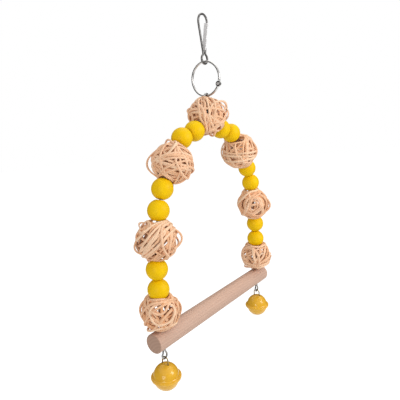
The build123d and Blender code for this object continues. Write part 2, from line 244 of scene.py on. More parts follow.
@cache
def handling_group() -> NodeTree:
    """Soft smudges and small specks that handling leaves on paint and plating.

    Returns:
        A group with inputs Vector and Scale and outputs Smudge and Speck.
    """
    tree, start, end = opened_group("handling_marks", ("Scale",), ("Smudge", "Speck"))
    place, scale = start.outputs["Vector"], start.outputs["Scale"]
    smudge = tree.noise(place, scale, detail=3.0, roughness=0.55, distortion=0.6)
    speck = tree.noise(place, tree.math("MULTIPLY", scale, 9.0), detail=2.0, roughness=0.5)
    raised = tree.math("MULTIPLY", tree.math("SUBTRACT", speck, 0.66), 14.0, clamp=True)
    tree.feed(end, {"Smudge": tree.spread(smudge, -0.4, 1.4), "Speck": raised})
    return tree.tree


class Finish:
    """A finish that makes its own material once."""

    name: str

    @cache
    def material(self) -> Material:
        """Return the finish's material, built on first use."""
        material, tree = blank_material(self.name)
        shader = tree.add("BsdfPrincipled", self.inputs(tree))
        tree.add("OutputMaterial", {"Surface": shader.outputs["BSDF"]})
        return material

    def inputs(self, tree: Tree) -> dict:
        """Return what feeds the inputs of the Principled shader in the material's tree."""
        raise NotImplementedError


@dataclass(frozen=True)
class RattanFinish(Finish):
    """Bare split rattan: peach strands that differ a little in tone, with fine fibres along them.

    Attributes:
        tones: Colours from the darkest to the palest strand, each at its tone; the darker ones also colour
            deeper strands as painted shade.
        streak_share: How far the streaks change a strand's tone.
    """

    name: str = "bare_rattan"
    tones: Stops = (
        (0.0, (0.72, 0.36, 0.17)),
        (0.3, (0.78, 0.445, 0.25)),
        (0.62, (0.82, 0.51, 0.32)),
        (1.0, (0.88, 0.62, 0.42)),
    )
    streak_share: float = 0.2
    gloss: Pair = (0.45, 0.65)
    shine: float = 0.3
    fibre_strength: float = 0.12
    fibre_depth: float = 0.1

    def inputs(self, tree: Tree) -> dict:
        """Colour each strand by its own tone and streak it along its length."""
        along = tree.add("UVMap", uv_map=STRAND_UV).outputs["UV"]
        fibres = tree.group(fibre_group(), Vector=along, Along=0.35, Across=3.0)
        tone = tree.add("Attribute", attribute_name=TONE).outputs["Fac"]
        streaks = tree.spread(fibres["Streak"], -self.streak_share / 2, self.streak_share / 2)
        return {
            "Base Color": tree.ramp(tree.math("ADD", tone, streaks, clamp=True), self.tones),
            "Roughness": tree.spread(fibres["Height"], *self.gloss),
            "Specular IOR Level": self.shine,
            "Normal": tree.bump(fibres["Height"], self.fibre_strength, self.fibre_depth),
        }


@dataclass(frozen=True)
class PerchFinish(Finish):
    """Bare sanded dowel: close pinkish grain along its length and darker end grain.

    Attributes:
        half_length: From the dowel's middle to its sawn ends.
        axis_height: Height of its axis.
        pith: From the middle of its growth rings to its axis, along Y and Z.
        ring_share: How far the rings change the colour of the dowel's side.
    """

    half_length: float
    axis_height: float
    name: str = "sanded_dowel"
    end_band: float = 0.4
    pale: Colour = (0.615, 0.42, 0.32)
    dark: Colour = (0.51, 0.325, 0.245)
    end_pale: Colour = (0.43, 0.275, 0.20)
    end_dark: Colour = (0.385, 0.24, 0.175)
    pith: Pair = (9.0, 11.0)
    ring_scale: float = 900.0
    ring_share: float = 0.25
    gloss: Pair = (0.55, 0.75)
    shine: float = 0.3
    fibre_strength: float = 0.35
    fibre_depth: float = 0.2

    def inputs(self, tree: Tree) -> dict:
        """Mix long grain with growth rings at the two sawn ends."""
        place = tree.add("TexCoord").outputs["Object"]
        fibres = tree.group(fibre_group(), Vector=place, Along=28.0, Across=900.0)
        from_middle = tree.math("ABSOLUTE", tree.add("SeparateXYZ", {"Vector": place}).outputs["X"])
        sawn = tree.math("GREATER_THAN", from_middle, (self.half_length - self.end_band) * MM)

        shift = (0.0, self.pith[0] * MM, (self.pith[1] - self.axis_height) * MM)
        shifted = tree.add("Mapping", {"Vector": place, "Location": shift}, vector_type="POINT")
        wave = {"Scale": self.ring_scale / FULL_TURN, "Distortion": 3.5, "Detail": 2.0, "Detail Scale": 0.6}
        wave["Vector"] = shifted.outputs["Vector"]
        rings = tree.add("TexWave", wave, wave_type="RINGS", rings_direction="X").outputs["Fac"]

        streaks = tree.math("MULTIPLY", fibres["Streak"], 1 - self.ring_share)
        lines = tree.math("MULTIPLY", rings, self.ring_share)
        side = tree.blend(tree.math("ADD", streaks, lines, clamp=True), self.dark, self.pale)
        end = tree.blend(rings, self.end_dark, self.end_pale)
        colour = tree.add("Mix", {"Factor": sawn, "A": side, "B": end}, data_type="RGBA")
        return {
            "Base Color": colour.outputs["Result"],
            "Roughness": tree.spread(fibres["Height"], *self.gloss),
            "Specular IOR Level": self.shine,
            "Normal": tree.bump(fibres["Height"], self.fibre_strength, self.fibre_depth),
        }


@dataclass(frozen=True)
class PaintFinish(Finish):
    """Sprayed paint with slight unevenness, orange peel and handling marks."""

    name: str
    colour: Colour
    shade: Colour
    gloss: Pair
    shine: float = 0.5
    coat: float = 0.0
    coat_roughness: float = 0.1
    mark_scale: float = 120.0
    speck_share: float = 0.05
    peel_strength: float = 0.25
    peel_depth: float = 0.02

    def inputs(self, tree: Tree) -> dict:
        """Vary the paint's depth of colour and its gloss over the piece."""
        place = tree.add("TexCoord").outputs["Object"]
        marks = tree.group(handling_group(), Vector=place, Scale=self.mark_scale)
        specks = tree.math("MULTIPLY", marks["Speck"], self.speck_share)
        deep = tree.math("SUBTRACT", marks["Smudge"], specks)
        return {
            "Base Color": tree.blend(deep, self.shade, self.colour),
            "Roughness": tree.spread(marks["Smudge"], *self.gloss),
            "Specular IOR Level": self.shine,
            "Coat Weight": self.coat,
            "Coat Roughness": self.coat_roughness,
            "Normal": tree.bump(marks["Smudge"], self.peel_strength, self.peel_depth),
        }


@dataclass(frozen=True)
class PlatingFinish(Finish):
    """Plated steel wire and strip with fine drawing lines and dull patches."""

    name: str
    colour: Colour
    dull: Colour
    gloss: Pair
    mark_scale: float = 300.0
    line_strength: float = 0.1
    line_depth: float = 0.03

    def inputs(self, tree: Tree) -> dict:
        """Vary the plating's brightness and gloss over the piece."""
        place = tree.add("TexCoord").outputs["Object"]
        smudge = tree.group(handling_group(), Vector=place, Scale=self.mark_scale)["Smudge"]
        return {
            "Base Color": tree.blend(smudge, self.dull, self.colour),
            "Roughness": tree.spread(smudge, *reversed(self.gloss)),
            "Metallic": 1.0,
            "Normal": tree.bump(smudge, self.line_strength, self.line_depth),
        }


RATTAN = RattanFinish()
BEAD_PAINT = PaintFinish(
    "satin_yellow_paint", (0.88, 0.57, 0.002), (0.78, 0.47, 0.001), (0.42, 0.55), shine=0.12
)
BELL_PAINT = PaintFinish(
    "gloss_golden_paint", (0.80, 0.45, 0.032), (0.70, 0.37, 0.022), (0.3, 0.42), shine=0.2, coat=0.5
)
CLIP_STEEL = PlatingFinish("clip_plating", (0.19, 0.182, 0.178), (0.14, 0.135, 0.13), (0.28, 0.38))
LEAF_STEEL = PlatingFinish("leaf_strip", (0.88, 0.86, 0.855), (0.80, 0.78, 0.775), (0.48, 0.6))
RING_STEEL = PlatingFinish("ring_plating", (0.70, 0.68, 0.66), (0.58, 0.56, 0.54), (0.28, 0.38))
PIN_STEEL = PlatingFinish("hinge_pin_plating", (0.90, 0.88, 0.86), (0.74, 0.72, 0.70), (0.5, 0.65))
ARCH_STEEL = PlatingFinish("drawn_wire", (0.42, 0.41, 0.40), (0.32, 0.31, 0.30), (0.25, 0.36))
BELL_WIRE = PlatingFinish("bell_loop_wire", (0.42, 0.31, 0.12), (0.26, 0.18, 0.06), (0.22, 0.38))
PELLET_STEEL = PlatingFinish("pellet_steel", (0.42, 0.41, 0.40), (0.26, 0.25, 0.24), (0.3, 0.5))


def rounded_max(first: float, second: float) -> float:
    """Return a little more than the larger of two sizes, with no corner where they are alike."""
    return (first**4 + second**4) ** 0.25


@dataclass(frozen=True)
class Mouth:
    """An opening of a rattan ball, held open by what stands in it.

    Attributes:
        way: Direction from the ball's middle.
        stopper: What stands in the opening.
        distance: From the ball's middle to a bead's middle or to the perch, or half the length of a
            ring's slot.
        size: Radius of a bead, or half the width of a ring's slot.
        wire_room: Radius round the line to a bead or the perch that the arch's bent wire stays within.
        reach: How far from the line strands bend round a round opening, in half angles.
    """

    way: Vector
    stopper: Stopper
    distance: float
    size: float = 0.0
    wire_room: float = 3.5
    reach: float = 2.5

    def half_angle(self, radius: float, gap: float) -> float:
        """Return the half angle of a round opening.

        Args:
            radius: Distance of the strand from the ball's middle.
            gap: Room that the strand's middle line keeps.

        Returns:
            The half angle in radians, that of the wire's way where the stopper doesn't reach that deep.
        """
        if self.stopper is Stopper.PERCH:
            share = (self.distance - gap) / radius
        else:
            share = (radius**2 + self.distance**2 - (self.size + gap) ** 2) / (2 * radius * self.distance)
        wire = math.asin(min((self.wire_room + gap) / radius, 1.0))
        return max(math.acos(min(share, 1.0)), wire)

    def clear(self, place: Vector, gap: float) -> Vector:
        """Return where a place of a strand's middle line lies once it keeps a gap to the opening."""
        if self.stopper is Stopper.RING:
            along = abs(place.y) / (self.distance + gap)
            if along >= 1 or place.dot(self.way) < 0:
                return place
            half = (self.size + gap) * math.sqrt(1 - along**2)
            return Vector((math.copysign(rounded_max(place.x, half), place.x), place.y, place.z))
        half = self.half_angle(place.length, gap)
        apart = place.angle(self.way)
        if apart > self.reach * half:
            return place
        turn = rounded_max(apart, half) - apart
        return Matrix.Rotation(turn, 3, self.way.cross(place).normalized()) @ place


@dataclass
class Strand:
    """One strand of rattan on its way round a ball.

    Attributes:
        normal: Axis that the strand runs round, of length 1.
        offset: Sideways distance from the ball's middle.
        radius: Distance of the strand's middle line from the ball's middle.
        width: Across the ball's surface.
        thickness: Along the ball's radius.
        tone: 0 for the darkest rattan and 1 for the palest.
        start: Angle of its first end, in radians.
        sweep: Angle that it covers, in radians.
        waves: Count, phase, rise and sideways drift of each wave along it.
        stand_off: Angle, half width and height of the place where it stands off the ball.
        drift_lag: Phase of a wave's sideways drift, in phases of its rise.
    """

    normal: Vector
    offset: float
    radius: float
    width: float
    thickness: float
    tone: float
    start: float = 0.0
    sweep: float = FULL_TURN
    waves: list[Wave] = field(default_factory=list)
    stand_off: Triple | None = None
    drift_lag: float = 1.7

    @property
    def whole(self) -> bool:
        """Tell whether the strand closes on itself."""
        return self.sweep >= FULL_TURN

    def angle(self, place: Vector) -> float:
        """Return the angle along the strand at which a place lies, in radians."""
        right = self.normal.orthogonal().normalized()
        return math.atan2(place.dot(self.normal.cross(right)), place.dot(right))

    def section(self, angle: float) -> tuple[Vector, Vector]:
        """Return the directions outward and sideways at an angle along the strand."""
        flat = Matrix.Rotation(angle, 3, self.normal) @ self.normal.orthogonal().normalized()
        tilt = math.asin(self.offset / self.radius)
        outward = flat * math.cos(tilt) + self.normal * math.sin(tilt)
        sideways = self.normal * math.cos(tilt) - flat * math.sin(tilt)
        return outward, sideways

    def rise(self, angle: float) -> float:
        """Return how far the strand lies outside its radius at an angle."""
        height = sum(rise * math.sin(count * angle + phase) for count, phase, rise, _ in self.waves)
        if self.stand_off:
            middle, half, most = self.stand_off
            away = abs((angle - middle + math.pi) % FULL_TURN - math.pi) / half
            if away < 1:
                height += most * math.cos(away * math.pi / 2) ** 2
        return height

    def drift(self, angle: float) -> float:
        """Return how far the strand lies beside its circle at an angle."""
        lag = self.drift_lag
        return sum(side * math.sin(count * angle + lag * phase) for count, phase, _, side in self.waves)


@dataclass(frozen=True)
class Run:
    """A few strands side by side that show on the outside of a ball.

    Attributes:
        axis: Axis that they run round, of any length.
        aside: Sideways distance from the ball's middle, in ball radii.
        strands: How many they are.
        lift: How far they stand off the ball where they are loosest.
        loosest: Direction of that place from the ball's middle, of any length.
    """

    axis: tuple[int, int, int]
    aside: float = 0.0
    strands: int = 1
    lift: float = 0.0
    loosest: tuple[int, int, int] = (0, 0, 1)


@dataclass(frozen=True)
class Weave:
    """How a ball is woven.

    Attributes:
        seed: Start of the ball's random draws.
        bundles: Bundles under its outer strands.
        runs: Its outer strands.
        strand_scale: Width and thickness of its strands beside those of the other balls.
        loop_room: From the ball's outside to its outermost bundles.
        loose_strands: Further strands that stand off the ball for a stretch.
        loops: Small loops that lie over the bundles.
        cut_strands: Strands that end on the ball.
        stand_off: Least and most height of a loose stretch.
        tone: Usual tone of its outermost strands.
    """

    seed: int
    bundles: int
    runs: tuple[Run, ...]
    strand_scale: float = 1.0
    loop_room: float = 1.4
    loose_strands: int = 1
    loops: int = 2
    cut_strands: int = 2
    stand_off: Pair = (0.8, 1.8)
    tone: float = 0.72


WEAVES = {
    "left_lower_ball": Weave(
        seed=11,
        bundles=2,
        strand_scale=1.1,
        tone=0.45,
        runs=(
            Run((-1, 72, 69), 0.03, 2, 0.3, (-63, -51, 58)),
            Run((-65, -61, 45), 0.17, 1, 1.2, (-71, 66, 25)),
            Run((-44, -73, 53), 0.35, 2, 1.5, (64, -76, 14)),
            Run((-55, 66, -51), 0.08, 2),
            Run((95, 1, -31), 0.14, 2),
            Run((22, -74, -64), 0.34, 1, 0.3, (-32, -88, 37)),
            Run((31, -95, -6), 0.38, 1, 0.3, (-63, -63, 46)),
            Run((-67, 12, -74), 0.77, 2, 0.4, (-90, -32, -29)),
            Run((-45, -51, 73), 0.64),
            Run((13, -73, 67), 0.06),
            Run((-91, 6, -42), 0.41),
        ),
    ),
    "left_middle_ball": Weave(
        seed=12,
        bundles=4,
        runs=(
            Run((-27, 72, 64), 0.18, 2, 0.3, (-80, -42, 43)),
            Run((85, -48, -23), 0.27, 2, 0.4, (-1, -84, 54)),
            Run((-43, 52, 74), 0.0, 2, 0.2, (-64, -75, 16)),
            Run((-42, 51, 75), 0.56, 2),
            Run((-41, 56, 72), 0.17, 2, 0.2, (-63, -66, 39)),
            Run((43, -60, -67), 0.26, 2),
            Run((79, -24, -56), 0.10, 2),
            Run((10, 53, 84), 0.52, 2),
            Run((-2, 58, 82), 0.43),
            Run((-94, -34, -7), 0.35, 1, 0.3, (-22, -57, 79)),
            Run((-33, -89, 30), 0.56, 1, 3.2, (57, -82, 6)),
            Run((-94, -31, 11), 0.53, 1, 3.2, (-78, 58, -24)),
            Run((-59, 15, 80), 0.92, 1, 2.4, (-39, 51, 77)),
            Run((31, -62, -72), 0.01, 2),
        ),
    ),
    "left_upper_ball": Weave(
        seed=13,
        bundles=4,
        loop_room=1.9,
        loops=4,
        stand_off=(1.4, 2.8),
        runs=(
            Run((-37, -37, -85), 0.11, 2, 0.5, (-67, -62, 42)),
            Run((-47, -57, -68), 0.03, 2, 0.3, (-44, -54, 72)),
            Run((-48, 61, -63), 0.51, 2, 0.6, (-84, -30, -45)),
            Run((-88, -28, -38), 0.09, 2, 0.6, (11, -97, 21)),
            Run((-99, -3, -11), 0.17, 1, 0.3, (-16, -98, 14)),
            Run((-29, 15, -95), 0.05, 2, 0.5, (-33, -94, -11)),
            Run((-24, 26, -93), 0.15, 2, 0.3, (-41, -86, -30)),
            Run((-10, -52, 85), 0.01, 2),
            Run((-87, -49, 3), 0.18, 1, 3.4, (-81, 58, -2)),
            Run((-11, -98, 16), 0.14, 1, 0.5, (-98, 1, 21)),
            Run((7, 100, 0), 0.24, 1, 2.0, (-93, 30, 20)),
            Run((-53, -30, 79), 0.87, 1, 2.4, (-25, 10, 96)),
            Run((-17, -67, -72), 0.44, 1, 0.4, (-77, -62, 15)),
        ),
    ),
    "right_lower_ball": Weave(
        seed=31,
        bundles=3,
        strand_scale=1.15,
        runs=(
            Run((-42, 89, -18), 0.08, 2, 0.5, (-84, -20, 50)),
            Run((64, -46, -62), 0.09, 2, 0.5, (-35, -92, 18)),
            Run((-39, -70, 60), 0.35, 1, 0.2, (-90, 29, 33)),
            Run((-67, -52, 53), 0.24, 2, 0.8, (-77, 63, 8)),
            Run((21, 12, -97), 0.34, 2, 0.8, (-51, -67, -54)),
            Run((-77, -14, 62), 0.09, 1, 0.5, (3, -100, -6)),
            Run((-66, 72, 20), 0.08),
            Run((47, -85, 24), 0.12),
            Run((4, 2, 100), 0.69),
            Run((-77, 24, -59), 0.95, 1, 3.0, (-54, 44, -72)),
        ),
    ),
    "right_middle_ball": Weave(
        seed=32,
        bundles=2,
        strand_scale=1.25,
        tone=0.5,
        loop_room=1.9,
        loops=3,
        stand_off=(1.4, 2.6),
        runs=(
            Run((-89, -46, 2), 0.81, 2, 0.6, (-45, -89, 11)),
            Run((-81, -58, -3), 0.68, 1, 0.5, (-16, -96, 21)),
            Run((0, -100, 0), 0.15, 2, 0.4, (-98, -15, 15)),
            Run((-78, -62, 3), 0.49, 2, 0.9, (16, -98, 15)),
            Run((-76, -65, 0), 0.18, 1, 0.6, (-77, 63, 10)),
            Run((-37, -93, 1), 0.18, 2),
            Run((5, 16, 99), 0.59, 1, 0.3, (-72, -20, 67)),
            Run((-65, 74, 17), 0.16, 1, 0.2, (-81, -54, 21)),
            Run((-66, -54, -53), 0.66, 1, 0.3, (-88, -40, 26)),
            Run((28, 54, -79), 0.14, 2, 1.4, (-51, -50, -70)),
            Run((-66, -74, 7), 0.48, 1, 3.0, (32, -94, -9)),
        ),
    ),
    "right_upper_ball": Weave(
        seed=33,
        bundles=4,
        strand_scale=1.05,
        runs=(
            Run((32, -95, -5), 0.35, 3, 0.4, (-78, -63, 0)),
            Run((-79, -61, -4), 0.09, 1, 1.2, (-68, 73, 9)),
            Run((-80, -57, 18), 0.28, 1, 1.5, (33, -94, 7)),
            Run((-42, 38, 82), 0.41, 1, 0.4, (-99, -10, 4)),
            Run((4, 4, -100), 0.27, 2, 0.3, (-92, -23, -32)),
            Run((-97, -11, 22), 0.05, 1, 0.2, (8, -99, 9)),
            Run((-51, -83, 20), 0.23, 2),
            Run((-93, -37, -3), 0.86, 1, 0.2, (-86, -20, 46)),
            Run((-56, -28, -78), 0.88),
            Run((80, -60, -8), 0.04),
            Run((70, 37, -61), 0.13, 2, 0.3, (-45, -23, -86)),
            Run((-15, -58, -80), 0.39, 1, 0.3, (-94, -34, -6)),
            Run((-66, 58, -48), 0.27),
        ),
    ),
    "top_ball": Weave(
        seed=53,
        bundles=4,
        loop_room=1.9,
        loops=6,
        stand_off=(1.4, 2.6),
        runs=(
            Run((-50, 16, -85), 0.21, 2, 1.0, (-95, 3, 32)),
            Run((-33, -18, -93), 0.11, 2, 1.0, (-32, -93, 18)),
            Run((-69, 73, 0), 0.16, 2, 0.4, (-80, -54, 26)),
            Run((-30, -95, 8), 0.82, 2, 2.2, (-14, -77, 63)),
            Run((-56, 83, -7), 0.33, 2, 0.2, (-93, -20, 31)),
            Run((-50, -86, 7), 0.90, 1, 0.4, (-23, -88, 41)),
            Run((-96, 23, -14), 0.66, 1, 1.1, (-77, 2, 64)),
            Run((64, -77, -3), 0.10, 1, 0.2, (-68, -71, 18)),
            Run((-56, 81, -18), 0.30, 1, 0.3, (-81, -31, -50)),
            Run((45, -35, -82), 0.51, 2, 0.5, (-37, -79, -48)),
            Run((-93, 9, 36), 0.69, 1, 3.0, (-57, 78, 25)),
            Run((-18, -94, 28), 0.71, 1, 3.0, (56, -77, 29)),
            Run((-23, -50, -84), 0.66, 1, 0.5, (-35, -93, -14)),
            Run((-51, -69, -51), 0.87, 2, 0.8, (-15, -55, -83)),
        ),
    ),
}


@dataclass
class RattanBall:
    """A hollow ball of rattan strands that run round it in loose bundles.

    Attributes:
        node: CAD node that the ball stands for.
        body: Body that it moves with.
        middle: Its middle in the frame, in millimetres.
        radius: Distance from the middle to the outside of its loops.
        mouths: Its openings.
        weave: How it is woven.
    """

    node: str
    body: str
    middle: Vector
    radius: float
    mouths: list[Mouth]
    weave: Weave
    bundle_strands: tuple[int, int] = (2, 3)
    bundle_fan: float = 7.0
    bundle_aside: float = 0.15
    run_fan: float = 5.0
    run_layers: int = 4
    most_aside: float = 0.95
    loose_stretch: float = 0.8
    loose_reach: float = 0.6
    loose_length: Pair = (0.35, 0.7)
    cut_reach: float = 0.4
    cut_sweep: Pair = (0.35, 0.8)
    cut_length: Pair = (0.2, 0.35)
    cut_lift: float = 0.6
    strand_width: Pair = (1.45, 1.95)
    strand_thickness: Pair = (1.2, 1.6)
    strand_pitch: Pair = (1.3, 1.8)
    strand_swell: float = 0.08
    swell_count: int = 7
    loop_offset: Pair = (0.5, 0.85)
    loop_length: Pair = (0.9, 1.6)
    layer_step: float = 0.4
    layer_spread: float = 0.15
    # Painted shade: each layer deeper in the ball makes a strand's tone darker by this step.
    depth_shade_step: float = 0.065
    tone_spread: float = 0.18
    single_tone: Pair = (0.5, 0.95)
    wave_counts: tuple[int, ...] = (1, 2, 3, 5)
    wave_spread: Pair = (0.2, 1.0)
    wave_rise: float = 0.45
    first_wave: float = 0.6
    wave_drift: float = 1.2
    shared_waves: float = 0.8
    own_waves: float = 0.35
    grain_length: float = 400.0
    profile_points: int = 10
    steps: int = 72
    least_steps: int = 8
    clearance: float = 0.15
    least_pass: float = 14.0

    def build(self) -> None:
        """Weave the ball and put it in its CAD node's place."""
        mesh = self.mesh()
        mesh.materials.append(RATTAN.material())
        ball = placed(mesh.name, mesh)
        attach(ball, self.body)
        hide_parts(self.node)
        LOG.info("%s: %d faces", ball.name, len(mesh.polygons))

    def mesh(self) -> Mesh:
        """Return one mesh of all strands, in the ball's place."""
        draw = random.Random(self.weave.seed)
        mesh = bpy.data.meshes.new(f"{self.node}_weave")
        whole = bmesh.new()
        for strand in self.strands(draw):
            self.step_aside(strand)
            made = self.strand_mesh(strand, draw.uniform(0, self.grain_length))
            made.to_mesh(mesh)
            made.free()
            whole.from_mesh(mesh)
        bmesh.ops.translate(whole, vec=self.middle, verts=whole.verts)
        bmesh.ops.scale(whole, vec=(MM, MM, MM), verts=whole.verts)
        whole.to_mesh(mesh)
        whole.free()
        return mesh

    def strands(self, draw: random.Random) -> list[Strand]:
        """Return every strand of the ball, laid by its random draws."""
        made = []
        for index, run in enumerate(self.weave.runs):
            made += self.laid(draw, run, index % self.run_layers)
        turn = draw.uniform(0, FULL_TURN)
        lean = Euler([draw.uniform(0, FULL_TURN) for _ in range(3)]).to_matrix()
        for index in range(self.weave.bundles):
            height = (index + 0.5) / self.weave.bundles
            across = math.sqrt(1 - height**2)
            angle = turn + index * GOLDEN_ANGLE
            normal = lean @ Vector((across * math.cos(angle), across * math.sin(angle), height))
            aside = draw.uniform(-self.bundle_aside, self.bundle_aside) * self.radius
            count = draw.randint(*self.bundle_strands)
            made += self.bundle(draw, normal, aside, self.run_layers + index, count, self.bundle_fan)
        made += [self.loose(draw) for _ in range(self.weave.loose_strands)]
        made += [self.loop(draw) for _ in range(self.weave.loops)]
        made += [self.cut(draw) for _ in range(self.weave.cut_strands)]
        return made

    def waves(self, draw: random.Random, share: float) -> list[Wave]:
        """Draw count, phase, rise and drift of each wave of a strand, by a share of the full size."""
        made = []
        for count in self.wave_counts:
            rise = share * self.wave_rise * draw.uniform(*self.wave_spread)
            rise *= self.first_wave if count == 1 else 1.0
            side = share * self.wave_drift * draw.uniform(*self.wave_spread) / count
            made.append((count, draw.uniform(0, FULL_TURN), rise, side))
        return made

    def bundle(
        self, draw: random.Random, normal: Vector, aside: float, layer: int, count: int, fan: float
    ) -> list[Strand]:
        """Lay strands side by side along one circle.

        Args:
            draw: The ball's random draws.
            normal: Axis that the bundle runs round.
            aside: Sideways distance of its middle from the ball's middle.
            layer: 0 for the outermost strands.
            count: Strands in the bundle.
            fan: Usual angle between its strands, in degrees.

        Returns:
            The bundle's strands.
        """
        shared = self.waves(draw, self.shared_waves)
        widths = [self.weave.strand_scale * draw.uniform(*self.strand_width) for _ in range(count)]
        steps = [width * draw.uniform(*self.strand_pitch) for width in widths]
        place = aside - sum(steps) / 2
        made = []
        for width, step in zip(widths, steps):
            thickness = self.weave.strand_scale * draw.uniform(*self.strand_thickness)
            depth = self.weave.loop_room + thickness / 2 + self.layer_step * layer
            lean = Matrix.Rotation(math.radians(draw.gauss(0, fan)), 3, self.any_way(draw))
            radius = self.radius - depth + draw.gauss(0, self.layer_spread)
            most = self.most_aside * radius
            # Random tone, made darker for each deeper layer as painted shade.
            tone = draw.gauss(self.weave.tone - self.depth_shade_step * layer, self.tone_spread)
            made.append(
                Strand(
                    normal=lean @ normal,
                    offset=min(max(place + step / 2, -most), most),
                    radius=radius,
                    width=width,
                    thickness=thickness,
                    tone=min(max(tone, 0.0), 1.0),
                    waves=shared + self.waves(draw, self.own_waves),
                )
            )
            place += step
        return made

    def laid(self, draw: random.Random, run: Run, layer: int) -> list[Strand]:
        """Lay the strands of one run and lift them where they are loosest; layer 0 is the outermost."""
        axis = Vector(run.axis).normalized()
        made = self.bundle(draw, axis, run.aside * self.radius, layer, run.strands, self.run_fan)
        for strand in made:
            strand.stand_off = (strand.angle(Vector(run.loosest)), self.loose_stretch, run.lift)
        return made

    @staticmethod
    def any_way(draw: random.Random) -> Vector:
        """Draw a direction."""
        return Vector([draw.gauss(0, 1) for _ in range(3)]).normalized()

    def single(self, draw: random.Random, reach: float) -> Strand:
        """Lay one whole strand over the bundles, at most reach ball radii beside the ball's middle."""
        thickness = self.weave.strand_scale * draw.uniform(*self.strand_thickness)
        return Strand(
            normal=self.any_way(draw),
            offset=draw.uniform(-reach, reach) * self.radius,
            radius=self.radius - self.weave.loop_room - thickness / 2,
            width=self.weave.strand_scale * draw.uniform(*self.strand_width),
            thickness=thickness,
            tone=draw.uniform(*self.single_tone),
            waves=self.waves(draw, self.shared_waves),
        )

    def loose(self, draw: random.Random) -> Strand:
        """Lay one strand that stands off the ball for a stretch."""
        strand = self.single(draw, self.loose_reach)
        height = draw.uniform(*self.weave.stand_off)
        strand.stand_off = (draw.uniform(0, FULL_TURN), draw.uniform(*self.loose_length), height)
        return strand

    def loop(self, draw: random.Random) -> Strand:
        """Lay one small loop that is tucked in on one side and stands off on the other."""
        strand = self.single(draw, 0.0)
        strand.offset = draw.uniform(*self.loop_offset) * strand.radius
        middle, half = draw.uniform(0, FULL_TURN), draw.uniform(*self.loop_length)
        strand.stand_off = (middle, half, draw.uniform(*self.weave.stand_off))
        return strand

    def cut(self, draw: random.Random) -> Strand:
        """Lay one strand whose cut end stands off the ball."""
        strand = self.single(draw, self.cut_reach)
        strand.start = draw.uniform(0, FULL_TURN)
        strand.sweep = draw.uniform(*self.cut_sweep) * FULL_TURN
        half = draw.uniform(*self.cut_length)
        strand.stand_off = (strand.start, half, self.cut_lift * draw.uniform(*self.weave.stand_off))
        return strand

    def step_aside(self, strand: Strand) -> None:
        """Shift a strand that would run over the middle of an opening to one side of it."""
        least = math.radians(self.least_pass)
        for mouth in self.mouths:
            rise = math.asin(max(min(mouth.way.dot(strand.normal), 1.0), -1.0))
            apart = math.asin(strand.offset / strand.radius) - rise
            if abs(apart) < least:
                strand.offset = strand.radius * math.sin(rise + math.copysign(least, apart))

    def strand_mesh(self, strand: Strand, grain: float) -> BMesh:
        """Spin one strand round its axis and bend it to its way over the ball.

        Args:
            strand: The strand.
            grain: Where along an endless strand its grain starts.

        Returns:
            The strand round the ball's middle, in millimetres.
        """
        bm = bmesh.new()
        bm.loops.layers.uv.new(STRAND_UV)
        tone = bm.verts.layers.float.new(TONE)
        outward, sideways = strand.section(strand.start)
        across, through = sideways * strand.width / 2, outward * strand.thickness / 2
        frame = Matrix((across, through, outward.cross(sideways))).transposed().to_4x4()
        frame.translation = outward * strand.radius
        ring = bmesh.ops.create_circle(bm, segments=self.profile_points, radius=1, matrix=frame)["verts"]
        bmesh.ops.spin(
            bm,
            geom=ring + bm.edges[:],
            cent=(0, 0, 0),
            axis=strand.normal,
            angle=strand.sweep,
            steps=max(round(self.steps * strand.sweep / FULL_TURN), self.least_steps),
            use_merge=strand.whole,
        )
        if not strand.whole:
            bmesh.ops.holes_fill(bm, edges=bm.edges, sides=self.profile_points)
        bmesh.ops.recalc_face_normals(bm, faces=bm.faces)

        places = {}
        for vert in bm.verts:
            angle = strand.angle(vert.co)
            outward, sideways = strand.section(angle)
            off = vert.co - outward * strand.radius
            places[vert] = (angle, math.atan2(off.dot(outward), off.dot(sideways)))
            vert[tone] = strand.tone
            middle = self.settled(strand, angle, outward, sideways)
            swell = 1 + self.strand_swell * math.sin(self.swell_count * angle + grain)
            vert.co = middle + outward.rotation_difference(middle) @ off * swell
        self.unwrap(bm, places, strand, grain)
        return bm

    def settled(self, strand: Strand, angle: float, outward: Vector, sideways: Vector) -> Vector:
        """Return where a strand's middle line lies at an angle, waves and the openings counted."""
        beside = strand.drift(angle) / strand.radius
        way = outward * math.cos(beside) + sideways * math.sin(beside)
        place = way * (strand.radius + strand.rise(angle))
        for mouth in self.mouths:
            place = mouth.clear(place, self.clearance + strand.width / 2)
        return place

    @staticmethod
    def unwrap(bm: BMesh, places: dict[BMVert, Pair], strand: Strand, grain: float) -> None:
        """Smooth a strand's faces and give them coordinates along it and round it, in millimetres.

        Args:
            bm: The strand's mesh.
            places: Angle along the strand and angle round it of each point.
            strand: The strand.
            grain: Where along an endless strand its grain starts.
        """
        layer = bm.loops.layers.uv[STRAND_UV]
        for face in bm.faces:
            face.smooth = True
            spots = [places[loop.vert] for loop in face.loops]
            tops = [max(spot[axis] for spot in spots) for axis in (0, 1)]
            for loop, spot in zip(face.loops, spots):
                around = [
                    angle + FULL_TURN if top - angle > math.pi else angle for angle, top in zip(spot, tops)
                ]
                loop[layer].uv = (
                    grain + around[0] * strand.radius,
                    around[1] * strand.width / 2 + grain * math.pi,
                )


